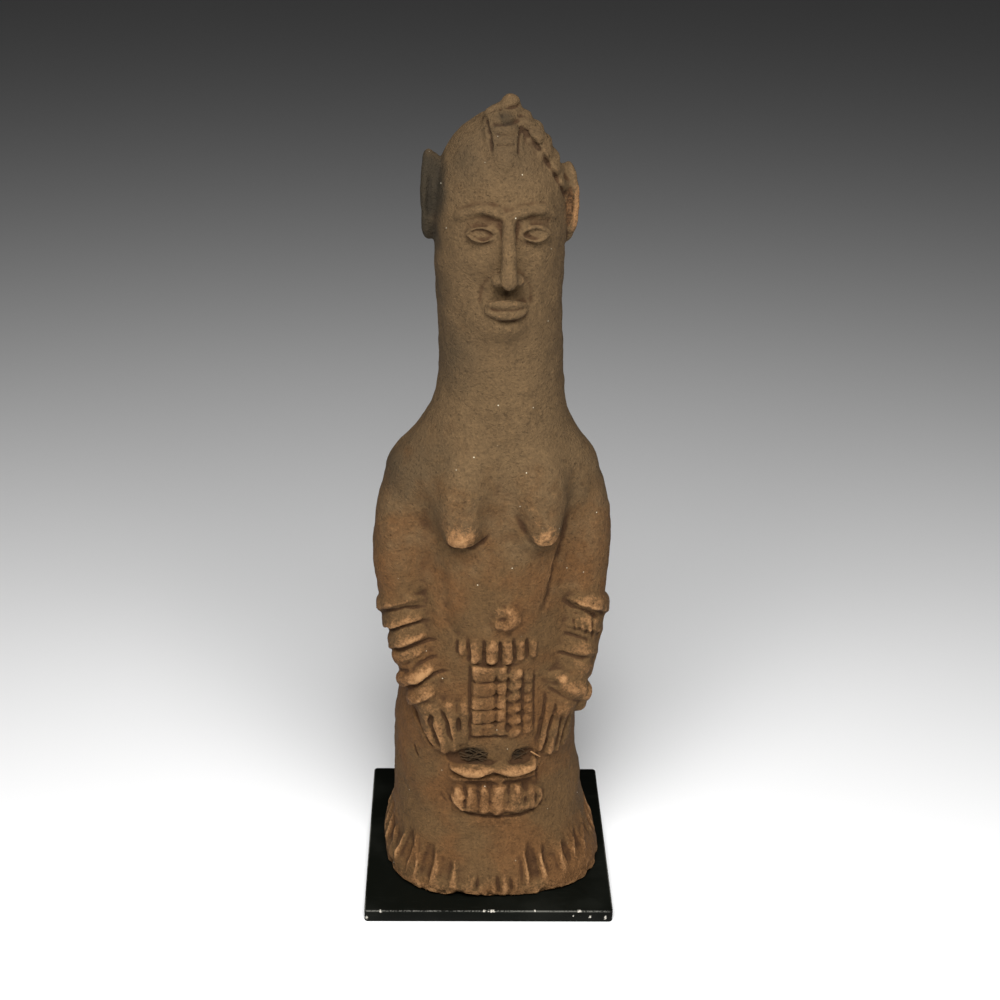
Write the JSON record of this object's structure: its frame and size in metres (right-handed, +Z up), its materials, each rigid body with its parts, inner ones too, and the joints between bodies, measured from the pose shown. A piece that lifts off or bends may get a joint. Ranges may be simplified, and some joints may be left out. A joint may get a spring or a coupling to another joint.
{
  "type": "terracotta funerary figure",
  "caption": "Standing hollow-built terracotta figure with long neck, bracelets, fringed apron and flared foot, on a thin black square display plate.",
  "frame": {"origin": "middle of the display plate's underside", "axes": "+Z up through the figure, the figure faces -Y, +X towards the viewer's right"},
  "size_m": [0.1778, 0.1778, 0.5699],
  "materials": {
    "terracotta": "matt, unglazed, weathered",
    "black_paint": "satin black paint, chipped at the edges"
  },
  "bodies": {
    "root": {"terracotta_figure": "terracotta", "display_plate": "black_paint"}
  },
  "joints": []
}
